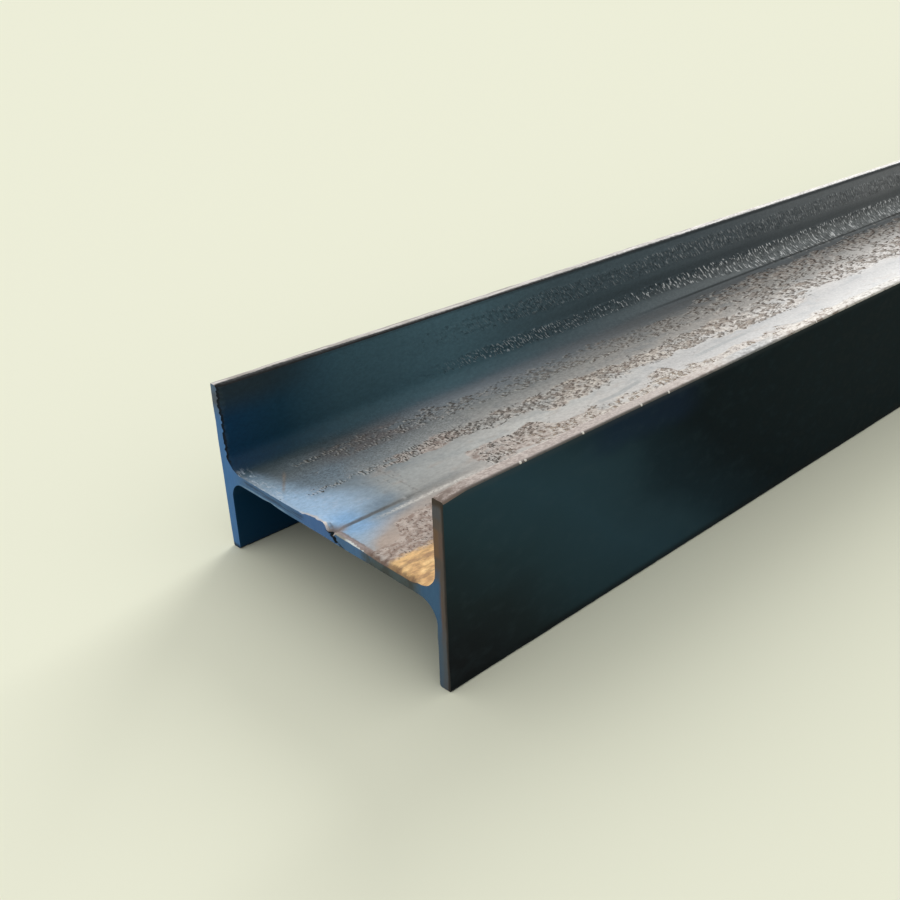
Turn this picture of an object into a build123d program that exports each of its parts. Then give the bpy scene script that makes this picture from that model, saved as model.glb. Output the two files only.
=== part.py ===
"""Hot-rolled steel I-beam, one piece, lying on its flange tips with the web level.

Millimetres. The beam runs along Y, its depth is along X and its flanges stand along Z.
The origin is under the middle of the beam, on the floor. The flame-cut end is at -Y.
"""

import os

from build123d import *

# Rolled section: a light beam of the 120 mm series with parallel flanges
section_depth = 117.0
flange_width = 64.0
web_thickness = 3.8
flange_thickness = 4.8
root_radius = 7.0
tip_radius = 0.8

# How far the rolls left the web below the middle of the flanges
web_drop = 1.7

# Length of the bar
beam_length = 2000.0

# Nick in the web's cut edge: narrow above, a deeper pit half-way down, only a crack below
nick_offset = 3.7
nick_width = 2.0
nick_depth = 1.4
pit_offset = 6.2
pit_width = 3.2
pit_depth = 2.0
crack_offset = 9.2
crack_width = 1.4
crack_depth = 0.5
nick_overrun = 1.0

# Lip of metal that the torch raised beside the nick
lip_start = -9.5
lip_end = 3.8
lip_height = 1.9
lip_run = 7.0
lip_sink = 0.2
lip_seat = 0.4

# Seam rolled into the upper side of the web, running out of the nick
seam_offset = 6.2
seam_length = 64.0
seam_depth = 0.5
seam_flare = 0.9
seam_rise = 0.1
seam_overrun = 0.4

# Heights and places that follow from the sizes above
web_middle = flange_width / 2 - web_drop
web_top = web_middle + web_thickness / 2
web_bottom = web_middle - web_thickness / 2
trough_width = section_depth - 2 * flange_thickness
upper_trough_depth = flange_width - web_top

# The upright plane of the flame-cut end: its own x is X and its own y is Z
cut_end = Plane.XZ.offset(beam_length / 2)


def lip_section(run, height):
    """Low arch of the lip at a run into the beam, seated just below the web's upper side."""
    seat = web_top - lip_seat
    crest = ((lip_start + lip_end) / 2, web_top + height)
    with BuildSketch(cut_end.offset(-run)) as section:
        with BuildLine():
            ThreePointArc((lip_start, seat), crest, (lip_end, seat))
            Line((lip_end, seat), (lip_start, seat))
        make_face()
    return section.sketch


def seam_section(run, depth):
    """Pointed groove at a run into the beam, its sides flaring up past the web's upper side."""
    rim = web_top + seam_overrun
    half_width = (depth + seam_overrun) * seam_flare
    with BuildSketch(cut_end.offset(-run)) as section:
        with BuildLine():
            Polyline(
                (seam_offset - half_width, rim),
                (seam_offset, web_top - depth),
                (seam_offset + half_width, rim),
                close=True,
            )
        make_face()
    return section.sketch


def nick_section(height, offset, width, depth):
    """Round-bottomed gouge in plan at a height, open past the cut end."""
    edge = -beam_length / 2
    left = (offset - width / 2, edge)
    right = (offset + width / 2, edge)
    with BuildSketch(Plane.XY.offset(height)) as section:
        with BuildLine():
            ThreePointArc(left, (offset, edge + depth), right)
            Polyline(
                right,
                (offset + width / 2, edge - nick_overrun),
                (offset - width / 2, edge - nick_overrun),
                left,
            )
        make_face()
    return section.sketch


with BuildPart() as i_beam:
    # Section: a full block less the two troughs, with rolled roots and rounded tips
    with BuildSketch(cut_end) as section:
        with Locations((0, flange_width / 2)):
            Rectangle(section_depth, flange_width)
        with Locations((0, web_top + upper_trough_depth / 2)):
            Rectangle(trough_width, upper_trough_depth, mode=Mode.SUBTRACT)
        with Locations((0, web_bottom / 2)):
            Rectangle(trough_width, web_bottom, mode=Mode.SUBTRACT)
        levels = section.vertices().group_by(Axis.Y)
        fillet(levels[1] + levels[2], root_radius)
        levels = section.vertices().group_by(Axis.Y)
        fillet(levels[0] + levels[-1], tip_radius)
    extrude(amount=-beam_length)

    # Raised lip on the web's upper edge, fading into the web
    loft([lip_section(0, lip_height), lip_section(lip_run, -lip_sink)])

    # Seam along the web, rising out of it as it leaves the cut end
    loft([seam_section(0, seam_depth), seam_section(seam_length, -seam_rise)], mode=Mode.SUBTRACT)

    # Nick in the cut edge, leaning to +X on its way down through the web
    nick_above = nick_section(web_top + nick_overrun, nick_offset, nick_width, nick_depth)
    nick_pit = nick_section(web_middle, pit_offset, pit_width, pit_depth)
    nick_crack = nick_section(web_bottom - nick_overrun, crack_offset, crack_width, crack_depth)
    loft([nick_above, nick_pit, nick_crack], ruled=True, mode=Mode.SUBTRACT)

i_beam.part.label = "i_beam"

os.makedirs("parts", exist_ok=True)
export_step(i_beam.part, "parts/i_beam.step")
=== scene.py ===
"""Looks of the rolled steel I-beam: worn, pitted skin, rough flame-cut end, light and camera."""

import math

import bmesh
import bpy
import numpy as np
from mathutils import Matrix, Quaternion, Vector, geometry


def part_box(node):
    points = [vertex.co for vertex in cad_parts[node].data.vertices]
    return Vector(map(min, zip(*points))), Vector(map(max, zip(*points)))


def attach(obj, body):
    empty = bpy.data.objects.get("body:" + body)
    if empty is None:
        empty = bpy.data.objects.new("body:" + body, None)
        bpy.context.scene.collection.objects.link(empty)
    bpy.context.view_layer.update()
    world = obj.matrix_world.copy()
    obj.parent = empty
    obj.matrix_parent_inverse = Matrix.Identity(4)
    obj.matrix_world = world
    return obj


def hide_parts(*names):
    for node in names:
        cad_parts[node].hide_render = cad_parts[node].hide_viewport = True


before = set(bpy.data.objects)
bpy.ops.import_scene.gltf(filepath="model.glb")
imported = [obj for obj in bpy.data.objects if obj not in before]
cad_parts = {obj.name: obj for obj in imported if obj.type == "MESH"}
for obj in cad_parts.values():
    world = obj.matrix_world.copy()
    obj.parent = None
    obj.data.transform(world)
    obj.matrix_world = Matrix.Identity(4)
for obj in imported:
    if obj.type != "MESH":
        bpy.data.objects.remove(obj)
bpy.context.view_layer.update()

MM = 0.001

# The section in millimetres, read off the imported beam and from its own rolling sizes
low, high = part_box("i_beam")
HALF_DEPTH = high[0] / MM
WIDTH = high[2] / MM
LENGTH = (high[1] - low[1]) / MM
NEAR_END = low[1] / MM
WEB = 3.8
FLANGE = 4.8
ROOT = 7.0
TIP = 0.8
WEB_DROP = 1.7
WEB_TOP = WIDTH / 2 - WEB_DROP + WEB / 2
WEB_BOTTOM = WEB_TOP - WEB
INNER = HALF_DEPTH - FLANGE
SKIN = 0.12  # how far the worn skin lies inside the nominal outer faces

# Where the features of the cut end lie, in millimetres across the web. The nick is given at
# three levels, which are shares of the web's thickness below its top
NICK_DOWN = (-0.26, 0.5, 1.26)
NICK_X, NICK_HALF, NICK_DEEP = (4.2, 6.1, 9.4), (1.1, 1.3, 0.7), (0.9, 2.0, 0.5)
BURR_X, BURR_HIGH = 1.5, 0.7
LIP_FROM, LIP_TO, LIP_HIGH, LIP_RUN = -9.6, 2.6, 1.75, 7.0
CHUTE_X, CHUTE_HALF, CHUTE_DEEP, CHUTE_RUN = 4.9, 2.7, 1.05, 4.5
SEAM_X, SEAM_LONG, SEAM_DEEP, SEAM_HALF = 6.2, 60.0, 0.45, 0.6
BEVEL_ACROSS, BEVEL_REACH, BEVEL_DEEP = (6.0, 12.0, 24.0, 46.0), (0.5, 0.8, 1.4, 1.8), 0.9

# Depths of the skin's relief in millimetres
WAVES, OUTER_WAVES = 0.12, 0.05
PIT_DEEP, ROUGH, BROAD, STROKE_DEEP = 0.34, 0.14, 0.16, 0.22
FAR_WEAR = 0.25  # how far the far end's rim lies inside the skin

# Spatter beads: run along the beam and radius, in millimetres
BEADS = ((29.5, 0.55), (31.5, 0.42), (56.0, 0.6), (83.5, 0.5), (97.5, 0.62), (188.0, 0.7))

# Spacing of the mesh in millimetres
FINE_ROW, ROW_GROWTH, SEEN_LENGTH, COARSE_ROW = 0.75, 0.0095, 520.0, 32.0
LAST_ROWS = (12.0, 3.0, 0.6, 0.0)  # before the far end
SEAM_PITCH, BAND_PITCH, WEB_PITCH = 0.34, 0.72, 1.1
CUT_SPACING, CUT_MARGIN = 0.62, 0.7
FAR_SPACING, FAR_MARGIN = 2.0, 0.8

# Zones round the section
WEB_UPPER, WEB_UNDER, ROOTS, LEFT_INNER, RIGHT_INNER, LOWER_INNER, OUTER, TIP_EDGE, CUT = range(9)


# Noise made in code, the same on every run


def lattice(i, j, k, seed):
    """Fixed random numbers from 0 to 1 at whole-number points."""
    h = (i * 73856093) ^ (j * 19349663) ^ (k * 83492791) ^ (seed * 2654435761)
    h = h & 0xFFFFFFFF
    h = ((h ^ (h >> 15)) * 2246822519) & 0xFFFFFFFF
    h = ((h ^ (h >> 13)) * 3266489917) & 0xFFFFFFFF
    return (h ^ (h >> 16)) / 0xFFFFFFFF


def noise(x, y, z, seed):
    """Smooth noise from 0 to 1 with features about one unit across."""
    cells = [np.floor(c).astype(np.int64) for c in (x, y, z)]
    parts = [c - i for c, i in zip((x, y, z), cells)]
    fades = [p * p * (3 - 2 * p) for p in parts]
    total = 0.0
    for corner in np.ndindex(2, 2, 2):
        weight = 1.0
        for fade, side in zip(fades, corner):
            weight = weight * (fade if side else 1 - fade)
        total = total + weight * lattice(*(i + s for i, s in zip(cells, corner)), seed)
    return total


def fractal(x, y, z, seed, octaves=3):
    """Noise from about -1 to 1 with finer noise added to it."""
    total = 0.0
    for octave in range(octaves):
        step = 2.0**octave
        total = total + (noise(x * step, y * step, z * step, seed + octave) * 2 - 1) / step
    return total / 1.6


def pits(u, v, seed, cover):
    """Round pits about one unit apart: depth from 0 to 1, and only where cover is high enough."""
    i, j = np.floor(u).astype(np.int64), np.floor(v).astype(np.int64)
    depth = np.zeros_like(u)
    for a in (-1, 0, 1):
        for b in (-1, 0, 1):
            at = (i + a, j + b, np.zeros_like(i))
            du = u - (i + a + lattice(*at, seed))
            dv = v - (j + b + lattice(*at, seed + 1))
            radius = 0.35 + 0.5 * lattice(*at, seed + 2)
            bowl = np.clip(1 - (du * du + dv * dv) / radius**2, 0, 1)
            depth = np.maximum(depth, bowl * (lattice(*at, seed + 3) < cover))
    return depth


def step(low_edge, high_edge, value):
    """Smooth step from 0 to 1 between two edges."""
    t = np.clip((value - low_edge) / (high_edge - low_edge), 0, 1)
    return t * t * (3 - 2 * t)


def bump_between(start, end, soft, value):
    """1 between two places, falling softly to 0 outside them."""
    return step(start - soft, start + soft, value) * (1 - step(end - soft, end + soft, value))


# Bands of pitted scale on the web: run along the beam, then the band's two edges across the web
BAND_A = (
    (15, -41, -38), (31, -41, -37.5), (37, -42, -31), (92, -42, -29),
    (190, -41, -29), (212, -39, -25), (240, -38, -23), (265, -46, -21),
    (300, -46, -18), (335, -46, -15), (455, -46, -13))
BAND_B = (
    (6, -19.8, -16.8), (42, -20.2, -16), (48, -20.8, -13), (75, -20.5, -12),
    (90, -19.5, -9.5), (106, -19.5, -10), (113, -20, -4.5), (123, -20, -5),
    (140, -20, -7), (160, -20, -8.5), (215, -20, -7.5), (226, -20, -4),
    (238, -20, -4), (248, -20, -5.5), (260, -20, -1), (282, -21, -3),
    (320, -23, -10), (394, -24, -8), (455, -27, -9))
BAND_C = (
    (62, 0.5, 10), (67, -5, 10.8), (88, -5.5, 9), (101, -6, 8), (108, 2, 14),
    (120, 4.5, 16), (126, -1, 16), (132, 5, 16), (156, 5.5, 16), (176, -0.5, 16),
    (182, 6.5, 17), (255, 7, 24), (263, 10, 26), (455, 10, 28))
BAND_D = (
    (-9, 25, 33), (13, 23.5, 33), (17, 16, 34), (42, 12, 38), (110, 15, 40),
    (455, 20, 40))
# For each band: how thickly it is pitted and how rusty it is
BANDS = ((BAND_A, 0.8, 0.15), (BAND_B, 1, 0.6), (BAND_C, 0.9, 0.9), (BAND_D, 0.8, 1))
BAND_SOFT = 1.4
RIGHT_PART = 12  # how far to the right of the middle the web is scaled otherwise


def band(edges, x, y, seed, mirror=1):
    """1 inside a band whose edges wander, 0 outside it."""
    runs, starts, ends = (np.array(column, dtype=float) for column in zip(*edges))
    wander = 3.4 * fractal(x / 4.5, y / 9, 0 * x, seed)
    wander = wander + 2.0 * fractal(0 * x, y / 90, 0 * x, seed + 9)
    across = x * mirror + wander * (0.25 + 0.75 * step(30, 70, y))
    start, end = np.interp(y, runs, starts), np.interp(y, runs, ends)
    begun = step(runs[0] - 1, runs[0] + 6, y)
    return bump_between(start, end, BAND_SOFT, across) * begun


def web_cover(x, y, mirror=1, seed=40):
    """How thickly the web's surface is pitted and how rusty it is, each from 0 to 1."""
    cover, rust = np.zeros_like(x), np.zeros_like(x)
    for number, (edges, thick, rusty) in enumerate(BANDS):
        inside = band(edges, x, y, seed + 20 + number, mirror)
        patchy = np.clip(0.8 + 0.6 * fractal(x / 8, y / 12, 0 * x, seed + number), 0, 1)
        thin_near = 1 - 0.6 * (1 - step(30, 90, y)) * (x * mirror > RIGHT_PART)
        crowded = 1 + 0.25 * step(220, 320, y) * (x * mirror < 0)
        cover = np.maximum(cover, thick * patchy * inside * thin_near * crowded)
        blotchy = 0.75 + 0.9 * fractal(x / 7, y / 22, 0 * x, seed + 10 + number)
        rust = np.maximum(rust, rusty * np.clip(blotchy, 0, 1) * inside)
    stray = np.clip(0.04 + 0.16 * fractal(x / 11, y / 17, 0 * x, seed + 50), 0, 0.14)
    cover = np.maximum(cover, stray * step(6, 26, y))
    late = step(250, 330, y) * bump_between(-44, -32, 2, x * mirror)
    rust = rust * step(28, 46, y + 60 * (x > RIGHT_PART)) + 0.25 * late
    return np.clip(cover, 0, 1), np.clip(rust, 0, 1)


# The section as one closed run of points, each with its outward direction and its zone


def straight(start, end, pitch, out, zone):
    """Points of a straight run, all facing one way."""
    count = max(1, round(math.dist(start, end) / pitch))
    run = []
    for share in (i / count for i in range(count)):
        place = (a + (b - a) * share for a, b in zip(start, end))
        run.append((*place, *out, zone))
    return run


def arc(centre, radius, start, end, count, zone, hollow=False):
    """Points of an arc given in degrees. Hollow arcs face their own centre."""
    run = []
    for i in range(count):
        a = math.radians(start + (end - start) * i / count)
        c, s = math.cos(a), math.sin(a)
        side = -1 if hollow else 1
        run.append((centre[0] + radius * c, centre[1] + radius * s, side * c, side * s, zone))
    return run


def web_run():
    """The web's upper side, with closer points over the pitted bands, the seam and the nick."""
    half = INNER - ROOT
    places = [-half]
    while places[-1] < half:
        here = places[-1]
        seam = abs(here - SEAM_X + 0.6)
        banded = -43 < here < -28 or -23 < here < -9 or -5 < here < 16
        places.append(here + (SEAM_PITCH if seam < 1.8 else BAND_PITCH if banded else WEB_PITCH))
    places[-1] = half
    return [(x, WEB_TOP, 0.0, 1.0, WEB_UPPER) for x in places[:-1]]


def section():
    """The whole outline, from the web's upper left root round to it again."""
    half = INNER - ROOT
    edge_in, edge_out = INNER + TIP, HALF_DEPTH - TIP
    top, foot = WIDTH - TIP, TIP
    upper, under = WEB_TOP + ROOT, WEB_BOTTOM - ROOT
    run = web_run()
    run += arc((half, upper), ROOT, -90, 0, 10, ROOTS, True)
    run += straight((INNER, upper), (INNER, top), 1.7, (-1, 0), RIGHT_INNER)
    run += arc((edge_in, top), TIP, 180, 90, 3, TIP_EDGE)
    run += straight((edge_in, WIDTH), (edge_out, WIDTH), 0.8, (0, 1), TIP_EDGE)
    run += arc((edge_out, top), TIP, 90, 0, 3, TIP_EDGE)
    run += straight((HALF_DEPTH, top), (HALF_DEPTH, foot), 5.2, (1, 0), OUTER)
    run += arc((edge_out, foot), TIP, 0, -90, 3, TIP_EDGE)
    run += straight((edge_out, 0), (edge_in, 0), 1.2, (0, -1), TIP_EDGE)
    run += arc((edge_in, foot), TIP, -90, -180, 3, TIP_EDGE)
    run += straight((INNER, foot), (INNER, under), 3.8, (-1, 0), LOWER_INNER)
    run += arc((half, under), ROOT, 0, 90, 7, ROOTS, True)
    run += straight((half, WEB_BOTTOM), (-half, WEB_BOTTOM), 4.4, (0, -1), WEB_UNDER)
    run += arc((-half, under), ROOT, 90, 180, 7, ROOTS, True)
    run += straight((-INNER, under), (-INNER, foot), 3.4, (1, 0), LOWER_INNER)
    run += arc((-edge_in, foot), TIP, 0, -90, 3, TIP_EDGE)
    run += straight((-edge_in, 0), (-edge_out, 0), 1.2, (0, -1), TIP_EDGE)
    run += arc((-edge_out, foot), TIP, -90, -180, 3, TIP_EDGE)
    run += straight((-HALF_DEPTH, foot), (-HALF_DEPTH, top), 7.0, (-1, 0), OUTER)
    run += arc((-edge_out, top), TIP, 180, 90, 3, TIP_EDGE)
    run += straight((-edge_out, WIDTH), (-edge_in, WIDTH), 0.8, (0, 1), TIP_EDGE)
    run += arc((-edge_in, top), TIP, 90, 0, 3, TIP_EDGE)
    run += straight((-INNER, top), (-INNER, upper), 0.5, (1, 0), LEFT_INNER)
    run += arc((-half, upper), ROOT, 180, 270, 12, ROOTS, True)
    return np.array(run)


def rows():
    """Distances from the near end: close where the camera sees detail, wide beyond it."""
    places, pitch = [0.0, 0.35], FINE_ROW
    while places[-1] < LENGTH - 1.5 * COARSE_ROW:
        here = places[-1]
        if here < SEEN_LENGTH:
            pitch = FINE_ROW + ROW_GROWTH * max(0.0, here - 40.0)
        else:
            pitch = min(COARSE_ROW, pitch * 1.3)
        places.append(here + pitch)
    return np.array(places + [LENGTH - gap for gap in LAST_ROWS])


# Relief of the skin


def nick_depth(x, z):
    """Depth of the nick at a place of the cut: narrow above, a pit half-way, a crack below."""
    below = (WEB_TOP - z) / WEB
    centre = np.interp(below, NICK_DOWN, NICK_X) + 0.25 * fractal(x / 2, 0 * x, z / 1.6, 8)
    half, deep = (np.interp(below, NICK_DOWN, sizes) for sizes in (NICK_HALF, NICK_DEEP))
    inside = np.clip(1 - ((x - centre) / half) ** 2, 0, 1)
    return deep * np.sqrt(inside) * bump_between(WEB_BOTTOM - 1, WEB_TOP + 3, 0.8, z)


def cut_depth(x, z):
    """How far the cut end lies inside its plane: torch ripples, and the nick through the web."""
    rough = 0.16 * fractal(x / 5, 0 * x, z / 5, 3) + 0.10 * fractal(x / 1.4, 0 * x, z / 2.6, 5)
    return np.maximum(0.14 + rough, 0.05) + nick_depth(x, z)


def torn(z):
    """How far the left flange's inner edge is torn back at the cut, in millimetres."""
    ragged = 0.6 * noise(0 * z, 0 * z, z / 0.8, 71) + 0.4 * noise(0 * z, 0 * z, z / 3.2, 72)
    mean = np.interp(z, (34, 38, 44, 52, 58, WIDTH), (0.3, 0.9, 0.5, 0.7, 1.5, 2.0))
    notch = 0.5 * np.exp(-(((z - 41.0) / 1.0) ** 2)) + 0.5 * np.exp(-(((z - 55.5) / 1.2) ** 2))
    return np.maximum(mean + 3.0 * (ragged - 0.5) + notch, 0.1) * step(32.6, 34.2, z)


def flange_cover(x, y, z):
    """How thickly a flange's inner face is pitted: half-way up, and in a strip above the root."""
    sway = 1.5 * fractal(x / 40, y / 30, z / 40, 91)
    middle = bump_between(50.0, 58.5, 1.6, z + sway) * step(45, 200, y)
    strip_foot = 37.5 - 4.5 * step(230, 360, y)
    above_root = bump_between(strip_foot, 43.0, 1.2, z + 0.6 * sway) * step(70, 170, y)
    return np.clip(middle * 0.8 + above_root, 0, 1)


def relief(x, y, z, zone, seen):
    """Height of the skin along its outward direction in millimetres, its pitting and its rust."""
    web, under = zone == WEB_UPPER, zone == WEB_UNDER
    inner = np.isin(zone, (LEFT_INNER, RIGHT_INNER, LOWER_INNER, ROOTS))
    cover, rust = np.zeros_like(x), np.zeros_like(x)
    cover[web], rust[web] = web_cover(x[web], y[web])
    cover[under], rust[under] = web_cover(x[under], y[under], -1, 80)
    cover = np.where(inner, flange_cover(x, y, z), cover)
    pocked = pits(x / 1.5, y / 1.5, 13, 0.8 * cover * (web | under))
    rough = fractal(x / 1.5, y / 1.7, z / 1.5, 17) * np.maximum(cover, 0.25 * web)
    broad = fractal(x / 5, y / 11, z / 5, 37) * np.maximum(cover, 0.3 * web)
    slanted = pits((y - z) / 3.4, (y + z) / 1.5, 19, 0.85 * cover * inner)
    close = 1 - step(60, 140, y)
    sunk = close * (PIT_DEEP * pocked - ROUGH * rough) - (1 - close) * BROAD * broad
    sunk = sunk + STROKE_DEEP * slanted * (1 - step(120, 240, y))
    height = WAVES * fractal(x / 30, y / 70, z / 30, 11, 2) - seen * sunk
    worn = 0.09 * fractal(x / 2.2, y / 3.5, z / 2.2, 23)
    worn = worn + 0.05 * fractal(x / 20, y / 24, z / 20, 29)
    height = np.where(zone == TIP_EDGE, worn * seen - SKIN, height)
    outer = OUTER_WAVES * fractal(x / 30, y / 45, z / 25, 31, 2) - SKIN
    return np.where(zone == OUTER, outer, height), cover, rust


def shape_end(x, y, z, zone):
    """The lip, the bevel and the seam on the web's upper side by the cut end."""
    web = (zone == WEB_UPPER).astype(float)
    across = np.clip((x - LIP_FROM) / (LIP_TO - LIP_FROM), 0, 1)
    crest = np.clip(np.sin(math.pi * across**1.6), 0, 1) ** 0.4
    uneven = 0.85 + 0.3 * fractal(x / 1.8, y / 1.8, 0 * x, 61)
    lip = LIP_HIGH * crest * uneven * (1 - step(0, LIP_RUN, y)) ** 1.5
    # The bevel's upper edge runs away from the cut towards the right flange
    reach = np.interp(x, BEVEL_ACROSS, BEVEL_REACH) + 0.4 * fractal(x / 2.5, 0 * x, 0 * x, 62)
    slope = np.clip(1 - (y + 0.2) / np.maximum(reach, 0.05), 0, 1)
    deep = BEVEL_DEEP * (0.45 + 0.55 * step(18, 28, x))
    bevel = deep * slope * bump_between(BEVEL_ACROSS[0], BEVEL_ACROSS[-1] - 1, 1.5, x)
    fade = 1 - step(0.4 * SEAM_LONG, SEAM_LONG, y)
    wander = 0.3 * fractal(0 * x, y / 9, 0 * x, 63)
    groove = np.clip(1 - np.abs(x - SEAM_X - wander) / SEAM_HALF, 0, 1)
    burr = BURR_HIGH * np.exp(-(((x - BURR_X) / 0.7) ** 2)) * (1 - step(0.2, 2.6, y)) * uneven
    # The mouth of the nick, where the web's upper side dips towards the cut
    mouth = np.clip(1 - ((x - CHUTE_X - 0.35 * y) / CHUTE_HALF) ** 2, 0, 1) ** 0.7
    chute = CHUTE_DEEP * mouth * np.clip(1 - y / CHUTE_RUN, 0, 1) ** 1.3
    return web * (lip - bevel + burr - chute - SEAM_DEEP * groove * fade)


def worn_down(x, y, z):
    """How far the right flange's upper edge is worn down where it meets the cut, in millimetres."""
    return 1.3 * (1 - step(-4, 11, y)) * step(WIDTH - 9, WIDTH, z) * (x > 0)


def inside_section(x, z, margin):
    """True where a point of the end plane lies inside the torn section by a margin."""
    in_box = (np.abs(x) < HALF_DEPTH - margin) & (z > margin) & (z < WIDTH - margin)
    in_flange = in_box & (np.abs(x) > INNER + margin + torn(z) * (x < 0))
    in_web = (np.abs(x) < INNER) & (z > WEB_BOTTOM + margin) & (z < WEB_TOP - margin)
    return in_flange | in_web


def cap_faces(rim, y, spacing, margin):
    """The end at a run: extra points inside its rim, and triangles over rim and extras."""
    xs = np.arange(-HALF_DEPTH, HALF_DEPTH, spacing)
    zs = np.arange(0, WIDTH, spacing)
    gx, gz = (g.ravel() for g in np.meshgrid(xs, zs))
    number = np.arange(gx.size)
    gx = gx + spacing * 0.4 * (lattice(number, 7 + 0 * number, 0, 5) - 0.5)
    keep = inside_section(gx, gz, margin)
    extras = np.stack([gx, gz - worn_down(gx, y, gz)], axis=1)[keep]
    points = [Vector((x, z)) for x, _, z in rim] + [Vector(p) for p in extras]
    count = len(rim)
    edges = [(i, (i + 1) % count) for i in range(count)]
    _, _, faces, origins, _, _ = geometry.delaunay_2d_cdt(points, edges, [], 1, 1e-7)
    back = [origin[0] for origin in origins]
    return extras, [tuple(back[i] for i in face) for face in faces]


def skin_points(loop, run):
    """Points of the skin from the near end on, in millimetres, and their surface measures."""
    x0, z0, nx, nz, zone = (np.tile(loop[:, i], len(run)) for i in range(5))
    y0 = np.repeat(run, len(loop))
    seen = 1 - step(SEEN_LENGTH, SEEN_LENGTH + 200, y0)
    height, cover, rust = relief(x0, y0, z0, zone, seen)
    height = height + shape_end(x0, y0, z0, zone)
    x, z = x0 + nx * height, z0 + nz * height - worn_down(x0, y0, z0)
    y = y0 + cut_depth(x0, z0) * (1 - step(0, 11, y0))
    # The rim of the cut lies a little inside the skin, and is torn back on the left flange
    edge_share = np.clip((x0 + HALF_DEPTH - TIP) / (FLANGE - 2 * TIP), 0, 1) * (zone == TIP_EDGE)
    full = (zone == LEFT_INNER) | (zone == ROOTS)
    tear = torn(z0) * np.where(full, 1, edge_share) * (x0 < 0) * (z0 > WEB_TOP)
    rim, far = y0 == 0, y0 == LENGTH
    wear = 0.05 + 0.10 * noise(x0 / 1.2, 0 * x0, z0 / 1.2, 81)
    x = np.where(rim, x - nx * wear - tear, np.where(far, x - nx * FAR_WEAR, x))
    z = np.where(rim, z - nz * wear, np.where(far, z - nz * FAR_WEAR, z))
    y = np.where(rim, y, y + 0.9 * tear * (1 - step(0.3, 9, y0)))
    measures = {"pitted": cover, "rusty": rust, "nicked": nick_depth(x0, z0) * (y0 < 6)}
    return np.stack([x, y, z], axis=1), measures


def skin_faces(columns, count):
    """Four-sided faces between each row of the skin and the next one."""
    faces = []
    for here in range(0, (count - 1) * columns, columns):
        there = here + columns
        for c in range(columns):
            n = (c + 1) % columns
            faces.append((here + c, here + n, there + n, there + c))
    return faces


def end_faces(faces, columns, rim_start, extra_start):
    """Faces of an end, with the whole mesh's numbers for the points of its rim and inside it."""
    def number(i):
        return rim_start + i if i < columns else extra_start + i - columns
    return [tuple(number(i) for i in face) for face in faces]


def sharpen_rims(mesh, columns, last):
    """Marks the edges round the two ends as sharp."""
    ends = np.zeros(2 * len(mesh.edges), dtype=int)
    mesh.edges.foreach_get("vertices", ends)
    ends = ends.reshape(-1, 2)
    near, far = ends < columns, (ends >= last) & (ends < last + columns)
    mesh.edges.foreach_set("use_edge_sharp", near.all(axis=1) | far.all(axis=1))


def build_beam():
    """The whole beam as one closed mesh with its measures as attributes, and each face's zone."""
    loop, run = section(), rows()
    columns, count = len(loop), len(run)
    last = (count - 1) * columns
    body, measures = skin_points(loop, run)
    near, near_faces = cap_faces(body[:columns], 0.0, CUT_SPACING, CUT_MARGIN)
    far, far_faces = cap_faces(body[last:], LENGTH, FAR_SPACING, FAR_MARGIN)
    near_points = np.stack([near[:, 0], cut_depth(near[:, 0], near[:, 1]), near[:, 1]], axis=1)
    far_points = np.stack([far[:, 0], 0 * far[:, 0] + LENGTH, far[:, 1]], axis=1)
    points = np.concatenate([body, near_points, far_points])
    points[:, 1] += NEAR_END
    faces = skin_faces(columns, count)
    faces += end_faces(near_faces, columns, 0, len(body))
    faces += [f[::-1] for f in end_faces(far_faces, columns, last, len(body) + len(near))]
    mesh = bpy.data.meshes.new("rolled_beam")
    mesh.from_pydata((points * MM).tolist(), [], faces)
    inside_ends = {name: np.zeros(len(near) + len(far)) for name in measures}
    inside_ends["nicked"][:len(near)] = nick_depth(near[:, 0], near[:, 1])
    for name, values in measures.items():
        attribute = mesh.attributes.new(name, "FLOAT", "POINT")
        attribute.data.foreach_set("value", np.concatenate([values, inside_ends[name]]))
    sharpen_rims(mesh, columns, last)
    ends = np.full(len(near_faces) + len(far_faces), CUT)
    kinds = np.concatenate([loop[:, 4]] * (count - 1) + [ends])
    return mesh, kinds.astype(int)


# Materials


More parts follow.
